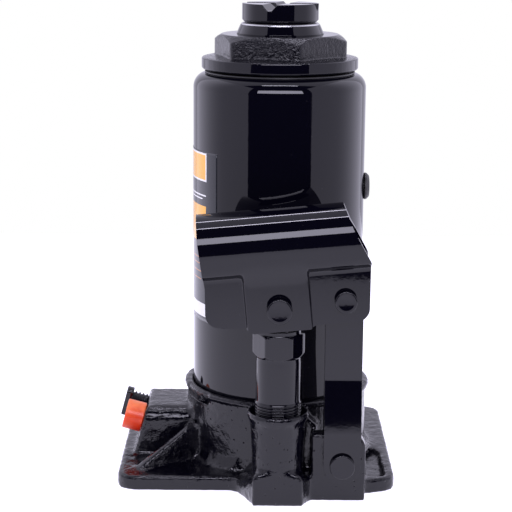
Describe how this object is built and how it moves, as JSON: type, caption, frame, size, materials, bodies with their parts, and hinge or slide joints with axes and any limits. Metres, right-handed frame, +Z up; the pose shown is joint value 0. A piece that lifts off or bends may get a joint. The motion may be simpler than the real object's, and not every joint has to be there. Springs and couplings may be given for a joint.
{
  "type": "hydraulic bottle jack",
  "caption": "Upright hydraulic jack: round oil tank on a cast foot, ram with a grooved saddle on an extension screw, side hand pump with a tubular handle socket, link, and capped valves.",
  "frame": {"origin": "where the ram's axis meets the plane of the base's underside", "axes": "+Z up along the ram, the lifting direction; -Y towards the hand pump; +X towards the oil filler, with the valves on the -X side"},
  "size_m": [0.1373, 0.1373, 0.23],
  "materials": {
    "black_casting": "gloss black enamel over a sand-cast surface",
    "black_enamel": "smooth gloss black enamel",
    "black_nut": "gloss black enamel over a forged surface",
    "black_pin": "gloss black enamel on turned steel",
    "ground_steel": "ground and lightly oiled",
    "honed_steel": "honed",
    "spring_steel": "plain",
    "ball_steel": "polished",
    "copper_washer": "annealed",
    "seal_rubber": "plain",
    "seal_polyurethane": "plain",
    "cap_plastic": "moulded, slightly translucent orange",
    "label_film": "printed film"
  },
  "bodies": {
    "base": {"base": "black_casting", "tank": "black_enamel", "tank_foot_gasket": "seal_rubber", "tank_top_gasket": "seal_rubber", "pressure_cylinder": "honed_steel", "cylinder_seal_ring": "copper_washer", "tank_nut": "black_nut", "ram_wiper": "black_enamel", "ram_o_ring": "seal_rubber", "pump_cylinder": "black_enamel", "pump_washer": "copper_washer", "link_lower_pin": "black_pin", "link_lower_ring": "black_pin", "release_ball": "ball_steel", "overload_ball": "ball_steel", "overload_spring": "spring_steel", "overload_screw": "ground_steel", "overload_cap": "cap_plastic", "inlet_ball": "ball_steel", "outlet_ball": "ball_steel", "outlet_spring": "spring_steel", "outlet_plug": "ground_steel", "suction_strainer": "spring_steel", "filler_plug": "seal_rubber", "label": "label_film"},
    "ram": {"ram": "ground_steel", "piston_cup": "seal_polyurethane", "piston_washer": "ground_steel", "piston_screw": "ground_steel"},
    "extension_screw": {"extension_screw": "black_enamel", "screw_stop_ring": "spring_steel"},
    "link": {"link_front_plate": "black_enamel", "link_rear_plate": "black_enamel", "link_upper_pin": "black_pin", "link_upper_ring": "black_pin"},
    "handle_socket": {"handle_socket": "black_enamel", "plunger_pin": "black_pin", "plunger_pin_ring": "black_pin"},
    "pump_plunger": {"pump_plunger": "ground_steel", "plunger_o_ring": "seal_rubber", "plunger_backup_ring": "seal_polyurethane"},
    "release_valve": {"release_valve": "black_pin", "release_o_ring": "seal_rubber"}
  },
  "joints": [
    {"name": "ram_lift", "type": "slide", "parent": "base", "child": "ram", "axis": [0, 0, 1], "range_m": [0, 0.15]},
    {"name": "screw_extension", "type": "slide", "parent": "ram", "child": "extension_screw", "axis": [0, 0, 1], "range_m": [0, 0.08]},
    {"name": "socket_swing", "type": "hinge", "parent": "link", "child": "handle_socket", "pos_m": [0.0303, -0.0576, 0.0997], "axis": [0, 1, 0], "range_deg": [0, 40]},
    {"name": "link_sway", "type": "hinge", "parent": "base", "child": "link", "pos_m": [0.0303, -0.0576, 0.0187], "axis": [0, 1, 0], "range_deg": [-2.2, 0]},
    {"name": "plunger_stroke", "type": "slide", "parent": "base", "child": "pump_plunger", "axis": [0, 0, 1], "range_m": [0, 0.02]},
    {"name": "release_turn", "type": "hinge", "parent": "base", "child": "release_valve", "pos_m": [-0.0671, 0.01, 0.023], "axis": [-0.9659, 0, 0.2588], "range_deg": [0, 540]}
  ],
  "couplings": [
    {"joint": "link_sway", "follows": "socket_swing", "ratio": -0.0502},
    {"joint": "plunger_stroke", "follows": "socket_swing", "m_per_rad": 0.02819}
  ]
}
